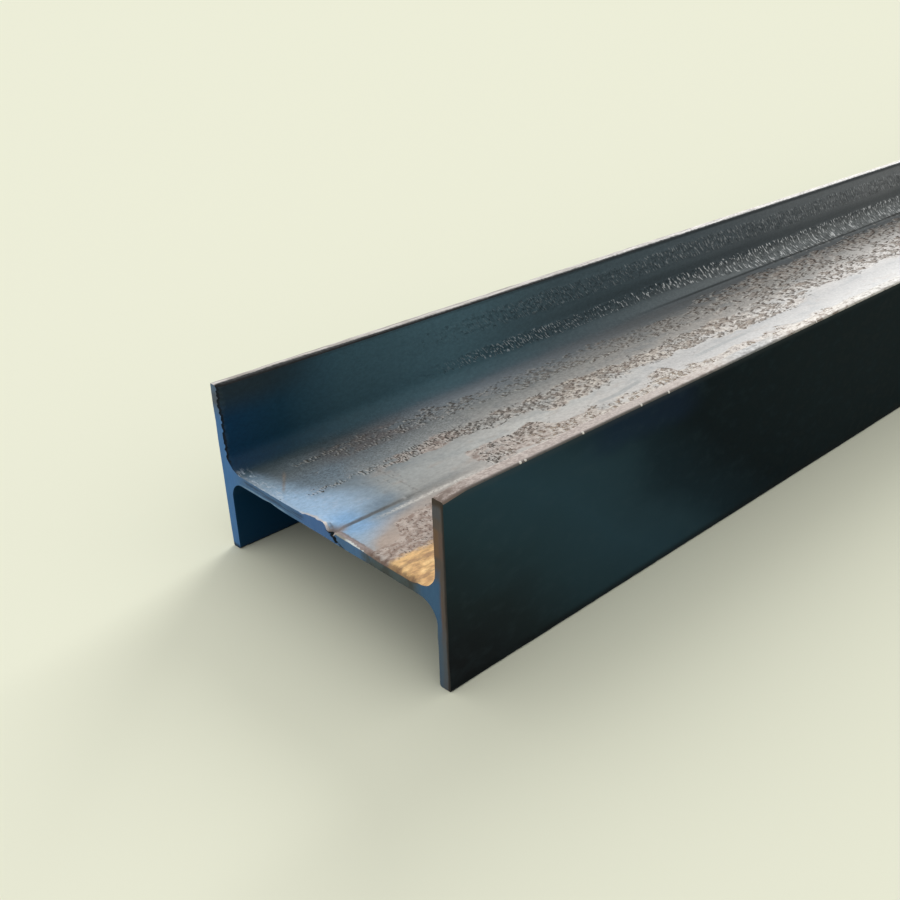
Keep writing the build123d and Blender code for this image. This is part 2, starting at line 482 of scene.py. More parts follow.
class Graph:
    """A material's nodes, written as sums. Places and sizes are in millimetres."""

    def __init__(self, name):
        self.material = bpy.data.materials.new(name)
        self.material.use_nodes = True
        self.tree = self.material.node_tree
        self.tree.nodes.clear()
        self.shader = self.node("BsdfPrincipled")
        self.node("OutputMaterial", self.shader.outputs[0])
        place = self.node("TexCoord").outputs["Object"]
        self.place = self.vector("SCALE", place, scale=1 / MM)
        self.x, y, self.z = self.node("SeparateXYZ", self.place).outputs
        self.run = self.math("SUBTRACT", y, NEAR_END)
        self.colour = None

    def node(self, kind, *values, **settings):
        """A new node with its settings made and its first sockets fed."""
        node = self.tree.nodes.new("ShaderNode" + kind)
        for name, setting in settings.items():
            setattr(node, name, setting)
        for socket, value in zip(node.inputs, values):
            self.feed(socket, value)
        return node

    def feed(self, socket, value):
        """Links a node's output to a socket, or sets it to a number, vector or screen colour."""
        if isinstance(value, bpy.types.NodeSocket):
            self.tree.links.new(value, socket)
        elif socket.type == "RGBA":
            socket.default_value = shade(*value)
        else:
            socket.default_value = value

    def math(self, kind, a, b=0.0, c=0.0):
        return self.node("Math", a, b, c, operation=kind).outputs[0]

    def vector(self, kind, a, b=(0, 0, 0), scale=1.0):
        node = self.node("VectorMath", a, b, operation=kind)
        node.inputs[3].default_value = scale
        return node.outputs[0]

    def measure(self, name):
        return self.node("Attribute", attribute_name=name).outputs["Fac"]

    def noise(self, sizes, detail=3.0, rough=0.55, shift=(0, 0, 0)):
        """Noise from 0 to 1, with features of the given sizes, read at a shifted place."""
        place = self.vector("ADD", self.place, shift) if any(shift) else self.place
        return self.noise_at(self.vector("MULTIPLY", place, [1 / s for s in sizes]), detail, rough)

    def noise_at(self, place, detail, rough):
        node = self.node("TexNoise")
        settings = (("Vector", place), ("Scale", 1.0), ("Detail", detail), ("Roughness", rough))
        for name, value in settings:
            self.feed(node.inputs[name], value)
        return node.outputs["Fac"]

    def slanted(self, long, thin):
        """Noise from 0 to 1 drawn out into short strokes that lean across the flange."""
        half = math.sqrt(0.5)
        along = self.both(self.math("SUBTRACT", self.run, self.z), half / long)
        beside = self.both(self.math("ADD", self.run, self.z), half / thin)
        place = self.node("CombineXYZ", along, beside, self.both(self.x, 0.3))
        return self.noise_at(place.outputs[0], 1.5, 0.5)

    def ramp(self, value, stops):
        """Colours that follow one another along a value: pairs of a place and a colour."""
        first, last = stops[0][0], stops[-1][0]
        share = self.math("DIVIDE", self.math("SUBTRACT", value, first), last - first)
        node = self.node("ValToRGB", share)
        elements = node.color_ramp.elements
        elements.remove(elements[1])
        for place, colour in stops:
            at = (place - first) / (last - first)
            element = elements[0] if place == first else elements.new(at)
            element.position = at
            element.color = shade(*colour)
        return node.outputs[0]

    def reach(self, stops):
        """A length that changes across the web: pairs of a place and a length."""
        first, last = stops[0][0], stops[-1][0]
        longest = max(length for _, length in stops)
        share = self.math("DIVIDE", self.math("SUBTRACT", self.x, first), last - first)
        node = self.node("FloatCurve", 1.0, share)
        curve = node.mapping.curves[0]
        for place, length in stops[1:-1]:
            curve.points.new((place - first) / (last - first), length / longest)
        curve.points[0].location = (0.0, stops[0][1] / longest)
        curve.points[-1].location = (1.0, stops[-1][1] / longest)
        node.mapping.update()
        return self.both(node.outputs[0], longest)

    def both(self, *shares):
        """Shares multiplied together."""
        total = shares[0]
        for share in shares[1:]:
            total = self.math("MULTIPLY", total, share)
        return total

    def rest(self, share):
        return self.math("SUBTRACT", 1.0, share)

    def apart(self, value, place):
        """How far a value is from a place."""
        return self.math("ABSOLUTE", self.math("SUBTRACT", value, place))

    def moved(self, value, by, scale):
        """A value plus another one times a scale."""
        return self.math("MULTIPLY_ADD", by, scale, value)

    def swayed(self, value, by, width):
        """A value moved to either side by a noise from 0 to 1."""
        return self.moved(value, self.math("SUBTRACT", by, 0.5), width)

    def fade(self, share, a, b):
        """From one value to another as the share grows."""
        return self.math("MULTIPLY_ADD", share, self.math("SUBTRACT", b, a), a)

    def ease(self, value, start, end, low_value=0.0, high_value=1.0):
        """Smooth change from one value to another as the first argument passes two places."""
        values = (value, start, end, low_value, high_value)
        return self.node("MapRange", *values, interpolation_type="SMOOTHSTEP").outputs[0]

    def within(self, value, start, end, soft):
        """1 between two places, falling softly to 0 outside them."""
        begun = self.ease(value, start - soft, start + soft)
        return self.both(begun, self.ease(value, end + soft, end - soft))

    def by_run(self, *limits):
        return self.ease(self.run, *limits)

    def by_x(self, *limits):
        return self.ease(self.x, *limits)

    def in_run(self, *limits):
        return self.within(self.run, *limits)

    def in_x(self, *limits):
        return self.within(self.x, *limits)

    def mix(self, share, a, b, kind="MIX"):
        node = self.node("Mix", share, data_type="RGBA", blend_type=kind)
        self.feed(node.inputs[6], a)
        self.feed(node.inputs[7], b)
        return node.outputs[2]

    def lay(self, under, over, *shares):
        """A colour with another laid over it, as strongly as the shares multiplied together."""
        return self.mix(self.both(*shares), under, over)

    def coat(self, over, *shares):
        """Lays a colour over the one built so far."""
        self.colour = self.lay(self.colour, over, *shares)

    def dent(self, height, distance, strength=1.0, below=None):
        """Bump of a height."""
        node = self.node("Bump")
        node.inputs["Strength"].default_value = strength
        node.inputs["Distance"].default_value = distance * MM
        self.feed(node.inputs["Height"], height)
        if below is not None:
            self.feed(node.inputs["Normal"], below)
        return node.outputs[0]

    def finish(self, roughness, normal, specular):
        self.feed(self.shader.inputs["Base Color"], self.colour)
        self.feed(self.shader.inputs["Roughness"], roughness)
        self.feed(self.shader.inputs["Normal"], normal)
        self.shader.inputs["Specular IOR Level"].default_value = specular
        return self.material


def shade(*screen):
    """A colour given as it looks on screen, from 0 to 255, as the renderer's own linear value."""
    linear = [((c / 255 + 0.055) / 1.055) ** 2.4 if c > 10 else c / 255 / 12.92 for c in screen]
    return (*linear, 1.0)


# Tones across the web from the left root to the right one: by the cut, a hand's breadth in, and far
# off. Their darkening towards the left root is partly painted shade of the left flange, and their
# lightening far off partly a painted reflection of bright sky.
WEB_NEAR = (
    (-50, (52, 68, 75)), (-42, (88, 99, 103)), (-30, (112, 120, 124)), (-18, (137, 142, 143)),
    (-6, (160, 163, 161)), (5, (154, 155, 152)), (14, (170, 158, 149)), (24, (176, 160, 148)),
    (47, (168, 148, 134)))
WEB_MID = (
    (-50, (95, 109, 118)), (-42, (140, 146, 151)), (-30, (141, 143, 141)), (-20, (162, 160, 156)),
    (-6, (190, 189, 184)), (5, (191, 186, 180)), (47, (177, 167, 158)))
WEB_FAR = (
    (-50, (102, 107, 109)), (-42, (117, 120, 121)), (-34, (153, 150, 145)),
    (-20, (160, 155, 148)), (-12, (203, 200, 195)), (-3, (171, 170, 168)), (12, (190, 188, 184)),
    (47, (186, 179, 170)))
# Blue by the cut, painted as a reflection of blue sky light: its colours across the web, and how
# far it reaches in
SKY_BLUE = (
    (-50, (50, 70, 78)), (-43, (110, 132, 148)), (-36, (142, 164, 180)), (-22, (158, 186, 212)),
    (-2, (158, 187, 214)), (8, (136, 166, 192)), (16, (152, 172, 190)), (24, (160, 158, 154)))
SKY_BLUE_REACH = (
    (-50, 2), (-43, 5), (-30, 8), (-18, 12), (-6, 18), (10, 16), (17, 11), (24, 3), (50, 0))
# Scale on the left flange's inner face along the beam
TEAL = (
    (0, (2, 46, 76)), (24, (18, 54, 72)), (52, (56, 86, 97)), (104, (77, 108, 118)),
    (165, (76, 96, 103)), (300, (92, 102, 106)), (470, (126, 130, 130)))
# Scale on the right flange's outer face along the beam
DARK_TEAL = (
    (-27, (22, 25, 27)), (0, (27, 37, 39)), (30, (33, 52, 58)), (62, (36, 58, 67)),
    (84, (33, 53, 61)), (104, (20, 36, 43)), (135, (10, 21, 25)), (200, (14, 25, 28)),
    (500, (16, 27, 30)))


def web_base(g, cloud, speck):
    """Tones of the web's upper side, across it and along it, with painted shade and sheen in them,
    and with clouds and stains.
    """
    g.colour = g.ramp(g.x, WEB_NEAR)
    g.coat(g.ramp(g.x, WEB_MID), g.by_run(34, 96))
    g.coat(g.ramp(g.x, WEB_FAR), g.by_run(100, 230))
    # Painted sheen: lighter far off, as a reflection of bright sky at a grazing angle
    g.coat((226, 222, 216), g.by_run(330, 400, 0, 0.35), g.in_x(-35, -12, 5))
    g.coat((108, 120, 126), g.ease(cloud, 0.48, 0.72, 0, 0.35))
    clouded = g.ease(g.noise((5, 16, 5), 3, 0.6), 0.52, 0.75, 0, 0.4)
    g.coat((160, 145, 133), clouded, g.by_x(-30, -14))
    # Two soft grey drag marks that follow one another along the smooth strip
    track = g.math("ADD", g.moved(g.x, cloud, 3), g.by_run(142, 165, 0, 1.8))
    on_track = g.ease(g.apart(track, 3.4), 1.6, 0.5)
    dragged = g.math("MAXIMUM", g.in_run(132, 160, 3), g.in_run(198, 240, 6))
    g.coat((138, 143, 143), on_track, dragged, 0.6)
    stain = g.mix(speck, (88, 80, 79), (124, 110, 104))
    g.coat(stain, g.in_x(-44, -32, 4), g.in_run(30, 72, 12), g.ease(cloud, 0.35, 0.55), 0.6)


def painted_sky_blue(g, cloud):
    """Blue by the cut, painted as a reflection of blue sky light: pale blue, and slate blue inside
    it, with flecks and spots.
    """
    swirl, edge = g.swayed(g.run, cloud, 12), g.swayed(g.run, cloud, 8)
    slate = g.mix(g.by_x(-30, -4), (104, 120, 131), (118, 134, 145))
    g.coat(slate, g.ease(swirl, 36, 24), g.in_x(-32, 11, 5), 0.75)
    tinted = g.ease(g.math("DIVIDE", edge, g.math("ADD", g.reach(SKY_BLUE_REACH), 0.1)), 1.7, 0.25)
    paler = g.ease(g.noise((2.2, 2.6, 2.2), 3, 0.65), 0.5, 0.75, 0, 0.4)
    sky = g.lay(g.ramp(g.x, SKY_BLUE), (182, 196, 214), paler)
    vivid = g.within(g.moved(g.x, cloud, 8), 2, 16, 4)
    sky = g.lay(sky, (126, 170, 212), vivid, g.in_run(3, 13, 3), 0.7)
    g.coat(sky, tinted)
    g.coat((104, 122, 136), g.in_x(0, 11, 3), g.within(swirl, 12, 26, 4), 0.55)
    flecks = g.both(g.ease(g.noise((2.4, 0.9, 2.4), 3, 0.6), 0.54, 0.62), g.by_run(6.5, 2))
    g.coat((196, 208, 218), flecks, g.in_x(-50, -22, 3), 0.7)
    spots = g.ease(g.noise((2, 1.3, 2), 2, 0.6, (40, 0, 0)), 0.36, 0.3)
    g.coat((70, 86, 98), spots, g.by_run(12, 4), g.in_x(-48, -20, 3), 0.55)


def web_lines(g, speck):
    """The seam's dark line, a pale strip right of it that is a painted highlight, and a hairline
    scratch across the web.
    """
    from_seam = g.apart(g.swayed(g.x, g.noise((3, 5, 3), 3, 0.6), 1), SEAM_X)
    g.coat((90, 88, 84), g.ease(from_seam, 1.3, 0.4), g.by_run(38, 22), g.by_run(0, 9, 0.55, 0.8))
    g.coat((146, 130, 120), g.ease(from_seam, 3, 0.8), g.by_run(8, 2), 0.7)
    g.coat((116, 117, 114), g.ease(from_seam, 3.2, 0.5), g.by_run(76, 40), g.by_run(14, 30), 0.5)
    # Painted highlight: a broken pale strip right of the seam
    off_line = g.math("ADD", g.x, g.moved(g.noise((6, 14, 6), 2), speck, 1.4))
    pale = g.both(g.within(off_line, 9.8, 11.4, 0.7), g.in_run(18, 60, 8))
    g.coat((216, 212, 204), pale, g.ease(speck, 0.3, 0.55), 0.65)
    scratch = g.both(g.ease(g.apart(g.run, 36.2), 0.7, 0.1), g.in_x(-19, 11, 1))
    g.coat((92, 88, 84), scratch, g.ease(speck, 0.4, 0.6), 0.35)


def brown_scale(g, clumps, speck):
    """Brown scale on the rusty bands, paler along the beam, and a smear of it by the cut."""
    grain = g.ease(clumps, 0.4, 0.6)
    warm = g.mix(grain, (136, 114, 102), (194, 181, 171))
    cream = g.mix(grain, (142, 122, 107), (214, 204, 189))
    pale = g.mix(grain, (150, 136, 124), (214, 209, 202))
    cream = g.mix(g.by_run(200, 360), cream, pale)
    warm = g.mix(g.by_run(66, 150), warm, cream)
    ragged = g.noise((4.5, 8, 4.5), 5, 0.68)
    g.coat(warm, g.ease(g.moved(g.measure("rusty"), ragged, 1.6), 0.98, 1.35), 0.7)
    lean = g.moved(g.moved(g.x, speck, 1.6), g.run, 1.4)
    g.coat((136, 122, 108), g.within(lean, -20.6, -19, 1), g.in_run(4.5, 12.5, 1.5), 0.6)


def warm_reflection_patch(g, speck):
    """The patch by the right root, a painted reflection of warm light in gold, with two darker
    lines in it.
    """
    wavy = g.moved(g.x, g.noise((4, 9, 4), 3, 0.6), 6)
    patchy = g.noise((2.2, 5.5, 2.2), 3, 0.65)
    gold = g.mix(g.ease(patchy, 0.34, 0.6), (190, 150, 106), (232, 191, 133))
    gold = g.lay(gold, (250, 212, 152), g.ease(patchy, 0.54, 0.68), g.in_x(38, 47, 3))
    lines = g.math("MINIMUM", g.apart(wavy, 40), g.apart(wavy, 47.4))
    gold = g.lay(gold, (158, 126, 96), g.ease(lines, 1.1, 0.2), 0.55)
    g.coat(gold, g.ease(g.moved(wavy, speck, 2), 34.9, 38.3), g.by_run(34, 22))


def cut_rim(g, speck, ridge_x):
    """Worn rim: pale along the cut, and a pinkish bevel right of the nick with a dark line and a
    painted white highlight.
    """
    rim = g.both(g.ease(g.moved(g.run, speck, -1.2), 0.9, 0.1), g.by_x(10, 5))
    g.coat((204, 196, 192), rim, g.by_x(-14, -8, 0.1, 0.75))
    edge = g.moved(g.run, speck, 1.2)
    pink = g.mix(speck, (122, 104, 96), (172, 154, 146))
    g.coat(pink, g.ease(edge, 3.1, 2.4), g.within(ridge_x, 7.6, 26, 1), 0.85)
    g.coat((104, 92, 86), g.within(edge, 2.3, 2.9, 0.3), g.within(ridge_x, 9, 22, 0.8), 0.5)
    # Painted highlight on the bevel's slope
    lit = g.ease(g.math("ADD", edge, g.ease(ridge_x, 16, 24, 0, 0.6)), 1.5, 1.1)
    white = g.mix(g.ease(ridge_x, 13.2, 15.4), (158, 156, 144), (226, 232, 230))
    g.coat(white, lit, g.within(ridge_x, 8.2, 23.5, 1), 0.9)


def nick_mouth(g, speck, ridge_x):
    """The nick's mouth: grey-brown, a pale right flank, the burr's white curl on its left as a
    painted highlight, and painted shade of the notch's wall.
    """
    grey = g.mix(speck, (96, 84, 78), (138, 126, 118))
    g.coat(grey, g.within(ridge_x, 4.6, 7.4, 0.8), g.by_run(4.2, 1.4), 0.85)
    flank = g.within(g.moved(ridge_x, g.run, -0.5), 6.7, 8.3, 0.4)
    g.coat((206, 196, 188), flank, g.by_run(1.7, 1), 0.75)
    curl_x = g.moved(g.x, speck, 0.8)
    # Painted highlight on the lit side of the burr's curl
    g.coat((232, 224, 218), g.within(curl_x, 1.7, 2.7, 0.3), g.by_run(1.5, 0.9), 0.85)
    # Painted shade of the notch's wall
    g.coat((84, 82, 86), g.within(curl_x, 2, 3.8, 0.5), g.in_run(1.9, 2.6, 0.4), 0.6)


def flakes(g, pitted, near_shift=(0, 0, 0), far_shift=(0, 0, 0)):
    """1 where scale has flaked off at a shifted place: chips by the cut, patches beyond."""
    chips = g.noise((1.7, 0.8, 1.7), 2.5, 0.6, near_shift)
    patches = g.noise((1.5, 2.5, 1.5), 5, 0.68, far_shift)
    coarse = g.noise((2.4, 5.2, 2.4), 5, 0.66, [1.5 * s for s in far_shift])
    patches = g.fade(g.by_run(170, 290), patches, coarse)
    field = g.fade(g.by_run(36, 96), chips, patches)
    limit = g.moved(g.by_run(30, 110, 0.35, 0.375), pitted, 0.15)
    flaked = g.ease(g.math("SUBTRACT", limit, field), 0, 0.035)
    return g.both(flaked, g.ease(pitted, 0.04, 0.25))


def flaked_web(g, bare, beyond):
    """The web with flaked scale: brownish hollows, with painted shade on their far side and a
    painted highlight on their near rim.
    """
    wall, rim = g.both(bare, g.rest(beyond)), g.both(beyond, g.rest(bare))
    brown = g.mix(g.by_run(60, 240), (128, 104, 92), (168, 150, 136))
    grey = g.mix(g.by_run(60, 300), (116, 114, 108), (158, 150, 142))
    inside = g.mix(g.measure("rusty"), grey, brown)
    dark = g.mix(g.by_run(40, 140), (58, 60, 57), (84, 74, 66))
    umber = g.mix(g.by_run(250, 320), (124, 102, 85), (164, 154, 143))
    right = g.both(g.by_x(-1, 7), g.by_run(62, 96))
    dark, inside = g.mix(right, dark, umber), g.mix(right, inside, (192, 176, 156))
    # Fainter by the painted warm reflection and on two stretches of the left bands
    warm_reflection_area = g.both(g.by_x(12, 17), g.by_run(50, 25), 0.6)
    calm = g.math("MAXIMUM", g.in_run(90, 240, 40), g.in_run(33, 56, 6))
    faint = g.both(g.rest(warm_reflection_area), g.rest(g.both(g.by_x(-24, -34), calm, 0.45)))
    across = g.fade(g.by_run(150, 250), 1, g.by_x(-28, 0, 1.3, 0.8))
    strong = g.both(faint, g.both(g.by_run(20, 200, 0.85, 0.76), across))
    # Painted highlight on the near rims of the hollows
    g.coat((208, 205, 197), rim, faint, g.by_run(10, 300, 0.5, 0.65))
    g.coat(inside, bare, g.by_run(30, 100, 0.8, 0.6))
    # Painted shade on the far side of the hollows
    g.coat(dark, wall, strong)


def dust(g):
    """How much fine dust and grit lighten or darken a place: about 1 on average."""
    between = g.both(g.in_x(-31, -20, 3), g.in_run(90, 330, 30), 0.1)
    share = g.math("ADD", g.by_run(40, 200, 0.12, 0.15), between)
    fine = g.noise((1.1, 2, 1.1), 5, 0.8)
    dusty = g.ease(fine, 0.32, 0.68, g.rest(share), g.math("ADD", 1, share))
    gritty = g.both(g.in_x(-49, -20, 5), g.in_run(9, 90, 12))
    grit = g.ease(g.noise((0.55, 0.7, 0.55), 2, 0.6), 0.36, 0.64, 0.76, 1.24)
    return g.both(dusty, g.fade(gritty, 1, grit))


def crease_shade_and_outline(g, speck):
    """Dark lines: painted shade in the left root's fold and under the left flange's tip, and its
    outline at the cut.
    """
    # Painted shade in the left root's fold
    fold = g.both(g.within(g.moved(g.x, speck, 0.5), -50.1, -49, 0.3), g.by_run(200, 280))
    g.coat((40, 45, 45), fold, 0.75)
    # Painted shade under the left flange's tip
    crease = g.both(g.ease(g.z, WIDTH - 2.2, WIDTH - 1.2), g.by_x(0, -20))
    g.coat((30, 38, 40), crease, g.by_run(60, 260, 0.3, 0.7))
    outline = g.both(g.by_x(-46.5, -48.5), g.ease(g.z, 34, 36))
    g.coat((6, 14, 20), outline, g.ease(g.moved(g.run, speck, 1), 1.5, 1), 0.85)


def rolled_skin():
    """Mill scale of the web and inner faces: blue by the cut, a painted sky reflection, then grey,
    brown where pitted.
    """
    g = Graph("rolled_skin")
    pitted = g.measure("pitted")
    speck = g.noise((0.95, 1.15, 0.95), 2, 0.6)
    cloud, clumps = g.noise((7, 18, 7), 4, 0.6), g.noise((1.7, 3.4, 1.7), 4, 0.65)
    ridge_x = g.moved(g.x, speck, 3)
    # Dark blue-green scale on the flanges' inner faces, with slanted strokes in it
    strokes = g.fade(g.by_run(150, 260), g.slanted(2.6, 0.5), g.slanted(3.8, 0.95))
    flange_colour(g, pitted, strokes)
    inner = g.colour
    web_base(g, cloud, speck)
    # Painted reflection of blue sky light on the web by the cut
    painted_sky_blue(g, cloud)
    web_lines(g, speck)
    brown_scale(g, clumps, speck)
    # Painted reflection of warm light by the right root
    warm_reflection_patch(g, speck)
    cut_rim(g, speck, ridge_x)
    nick_mouth(g, speck, ridge_x)
    g.coat((104, 80, 66), g.ease(g.moved(g.run, clumps, 4), 4.2, 2.6), g.in_x(23, 46, 2), 0.7)
    bare = flakes(g, pitted)
    flaked_web(g, bare, flakes(g, pitted, (0.15, 0.7, 0), (0.25, 1.1, 0)))
    off_middle = g.math("ABSOLUTE", g.moved(g.x, g.noise((12, 20, 12), 2), 2))
    # Where the painted warm reflection reaches up the right flange's inner face
    warm_reflection_area = g.both(g.by_x(20, 30), g.by_run(40, 20))
    warm_reflection_area = g.both(warm_reflection_area, g.ease(g.z, WEB_TOP + 14, WEB_TOP + 7))
    side = g.both(g.ease(off_middle, 45.5, 51), g.rest(warm_reflection_area))
    g.colour = g.mix(1, g.mix(side, g.colour, inner), dust(g), "MULTIPLY")
    crease_shade_and_outline(g, speck)
    # Painted shade: dark blue on everything lower than the web's upper side
    g.coat((0, 45, 72), g.ease(g.z, WEB_TOP - 0.5, WEB_BOTTOM + 1))
    normal = g.dent(g.noise((0.35, 0.6, 0.35), 3, 0.6), 0.03, 0.5)
    normal = g.dent(g.both(bare, -1), 0.3, 0.9, normal)
    normal = g.dent(g.both(strokes, g.both(pitted, side)), 0.7, 0.9, normal)
    return g.finish(g.ease(bare, 0, 1, 0.44, 0.75), normal, 0.14)


def flange_colour(g, pitted, strokes):
    """Scale on the flanges' inner faces, with dark strokes and painted highlights as bright strokes
    where it is pitted.
    """
    g.colour = g.ramp(g.run, TEAL)
    g.coat((36, 46, 48), g.ease(g.z, 49, 61), g.by_run(52, 14), 0.8)
    g.coat((32, 46, 52), g.noise((16, 30, 16), 3), 0.28)
    g.coat((144, 149, 148), g.ease(g.z, 43, 38), g.by_run(130, 400, 0, 0.65))
    g.coat((40, 50, 54), g.within(g.z, 42, 48, 2.5), g.by_run(110, 230, 0, 0.42))
    g.coat((120, 124, 124), g.noise((9, 0.9, 14), 2), g.by_run(250, 380), g.ease(g.z, 50, 62), 0.3)
    rough_part = g.ease(pitted, 0.1, 0.7)
    g.coat((22, 34, 38), g.ease(strokes, 0.44, 0.34), rough_part, 0.4)
    # Painted highlights: bright strokes
    bright = g.both(g.ease(g.z, 50, 45, 0.26, 1), g.by_run(60, 240, 0.45, 1))
    light = g.mix(g.by_run(160, 300), (200, 206, 208), (228, 231, 230))
    g.coat(light, g.ease(strokes, 0.57, 0.64), rough_part, bright)


def outer_skin():
    """Smooth, nearly black blue-green scale of the flanges' outer faces."""
    g = Graph("outer_skin")
    clouds, mottle = g.noise((26, 50, 26), 3), g.noise((3.5, 6, 3.5), 3, 0.6)
    leaning = g.moved(g.swayed(g.run, clouds, 36), g.math("SUBTRACT", g.z, 32), 1.2)
    g.colour = g.ramp(leaning, DARK_TEAL)
    g.coat((20, 36, 56), g.ease(g.moved(g.z, clouds, 8), 52, 60), g.in_run(62, 112, 10), 0.5)
    g.coat((60, 64, 64), g.ease(g.z, WIDTH - 3.2, WIDTH - 1, 0, 0.3))
    g.coat((16, 20, 22), g.ease(g.z, 4, 1), 0.8)
    g.coat((60, 74, 78), g.ease(mottle, 0.45, 0.75), 0.1)
    grain = g.noise((0.6, 1.1, 0.6), 3, 0.6)
    return g.finish(g.ease(mottle, 0.3, 0.7, 0.52, 0.66), g.dent(grain, 0.03, 0.5), 0.02)


def right_tip(g, speck):
    """Pinkish, then cream upper edge of the right flange, with painted shade on its outer corner
    and a painted highlight on its inner one.
    """
    patchy = g.noise((1.4, 3.4, 1.4), 5, 0.7)
    g.colour = g.mix(g.ease(speck, 0.4, 0.62), (150, 136, 128), (188, 177, 169))
    cream = g.mix(g.ease(patchy, 0.4, 0.52), (132, 114, 98), (208, 201, 190))
    g.coat(cream, g.by_run(60, 200))
    g.coat((148, 158, 162), g.in_run(132, 162, 10), 0.55)
    g.coat((198, 203, 200), g.by_run(190, 260, 0, 0.4))
    # Painted highlight along the inner corner
    bright = g.both(g.in_x(INNER - 0.3, INNER + 0.7, 0.25), g.ease(speck, 0.35, 0.55))
    g.coat((228, 220, 208), bright, g.by_run(4, 14), 0.8)
    # Painted shade on the rounded outer corner
    outer_corner_shade = g.ease(g.moved(g.x, speck, 0.6), HALF_DEPTH - 0.9, HALF_DEPTH + 0.4)
    g.coat((58, 58, 57), outer_corner_shade, g.by_run(60, 320, 1, 0.2))
    g.coat((112, 96, 86), g.by_run(16, 1), g.ease(patchy, 0.62, 0.44), 0.85)


def tip_skin():
    """Worn flange edges: pale and pinkish above, dark below, with a painted highlight on an inner
    corner.
    """
    g = Graph("tip_skin")
    speck, streak = g.noise((0.8, 1.5, 0.8), 3, 0.6), g.noise((0.9, 14, 0.9), 2)
    left = g.mix(g.ease(streak, 0.4, 0.62), (160, 154, 146), (214, 209, 203))
    from_inner = g.math("ADD", g.moved(g.x, speck, 1), g.by_run(20, 100, 1.1, 0))
    inner_edge = g.ease(from_inner, -INNER - 1.2, -INNER - 0.1)
    left = g.lay(left, g.mix(g.by_run(40, 300), (10, 13, 14), (34, 40, 42)), inner_edge)
    right_tip(g, speck)
    g.colour = g.mix(g.by_x(-10, 10), left, g.colour)
    g.coat((24, 27, 29), g.ease(g.z, 40, 20))
    return g.finish(g.ease(speck, 0.4, 0.6, 0.5, 0.7), g.dent(speck, 0.18, 0.7), 0.3)


def cut_base(g, drag, cloud):
    """The cut's tones: steel blue at the left and in the roots, a painted reflection of blue sky
    light, duller to the right.
    """
    g.colour = g.mix(drag, (44, 94, 148), (76, 124, 176))
    g.coat((84, 98, 110), g.ease(g.moved(g.z, cloud, 6), 52, 61), 0.8)
    g.coat((22, 34, 46), g.ease(g.z, 2.2, 0.8, 0, 0.8))
    g.coat(g.mix(drag, (54, 88, 124), (84, 120, 158)), g.by_x(-52, -44))
    vivid = g.mix(drag, (54, 92, 146), (78, 114, 166))
    g.coat(vivid, g.in_x(-12, 5, 5), 0.8)
    dull = g.mix(drag, (60, 72, 74), (82, 92, 94))
    g.coat(dull, g.ease(g.swayed(g.x, cloud, 16), 16, 27))
    g.coat(g.mix(drag, (44, 78, 112), (70, 104, 134)), g.by_x(43, 49))
    g.coat((60, 58, 52), g.in_x(22, 46, 4), g.ease(cloud, 0.45, 0.62), 0.6)


def cut_web(g, drag, cloud):
    """The web's rolled layers as dark streaks, a glint under them and a burnt upper rim."""
    across_web = g.in_x(-46, -8, 4)
    layers = g.both(g.noise((12, 3, 0.6), 2), g.within(g.z, 29.6, 31.8, 0.4), across_web)
    g.coat((44, 60, 86), g.ease(layers, 0.4, 0.6, 0, 0.7))
    glint = g.ease(g.apart(g.z, WEB_BOTTOM + 0.5), 0.5, 0.1)
    g.coat((140, 170, 196), glint, across_web, g.by_x(-17, -22), drag)
    rim = g.ease(g.moved(g.z, cloud, 1.6), WEB_TOP - 0.6, WEB_TOP + 0.5)
    g.coat((84, 70, 60), rim, g.by_x(22, 27), g.by_x(47, 44), 0.8)


def cut_flange(g, drag, cloud):
    """Right flange: grey-brown, rusty at its upper inner edge, blue-grey inside lower down."""
    wavy = g.moved(g.z, cloud, 3)
    upper = g.both(g.by_x(52, 54), g.ease(g.moved(g.z, cloud, 6), 38, 45))
    outer = g.ease(g.moved(g.x, cloud, 1.6), 55.6, 57.2)
    brown = g.mix(drag, (70, 63, 59), (100, 90, 84))
    g.coat(brown, g.math("MAXIMUM", upper, outer))
    rusty = g.mix(g.by_x(55.2, 56.4), (110, 85, 64), (98, 80, 72))
    g.coat(rusty, g.within(wavy, 46, 55, 0.8), g.by_x(58, 57.2), g.by_x(53, 54), 0.8)
    g.coat((76, 80, 86), g.within(wavy, 58, 62.5, 1), g.by_x(57.6, 56.6), 0.7)
    stripe = g.both(g.within(g.moved(g.x, drag, 1), 56.3, 57, 0.3), g.within(g.z, 12, 34, 3))
    g.coat((104, 80, 66), stripe, 0.35)
    lower = g.both(g.ease(g.z, 26, 14), g.by_x(52, 54))
    g.coat((76, 88, 98), lower, g.ease(g.moved(g.x, cloud, 1), 58.4, 57.4), 0.75)
    g.coat((30, 31, 31), g.by_x(57, 58), 0.9)
    # Painted shade along the top edge, where the worn corner dips
    top = g.ease(g.moved(g.z, cloud, 2), WIDTH - 3.4, WIDTH - 1.6)
    g.coat((52, 42, 34), top, g.by_x(50, 54), 0.75)


def nick_and_crack_shade(g):
    """The nick and the crack that runs down from it, painted dark as the shade inside them."""
    down = g.math("SUBTRACT", WEB_TOP - 0.5, g.z)
    from_crack = g.apart(g.x, g.moved(2.4, down, 2.6))
    crack = g.both(g.ease(from_crack, 1.1, 0.4), g.ease(down, 0, 0.3))
    crack = g.both(crack, g.by_x(7, 9.5, 1, 0.9), g.by_x(13, 12))
    hole = g.both(g.ease(g.measure("nicked"), 0.05, 0.3), g.in_x(4.1, 7.7, 0.3))
    # Painted shade inside the nick and the crack
    g.coat((12, 24, 30), g.math("MAXIMUM", crack, g.both(hole, g.ease(g.z, 32, 31.5))))


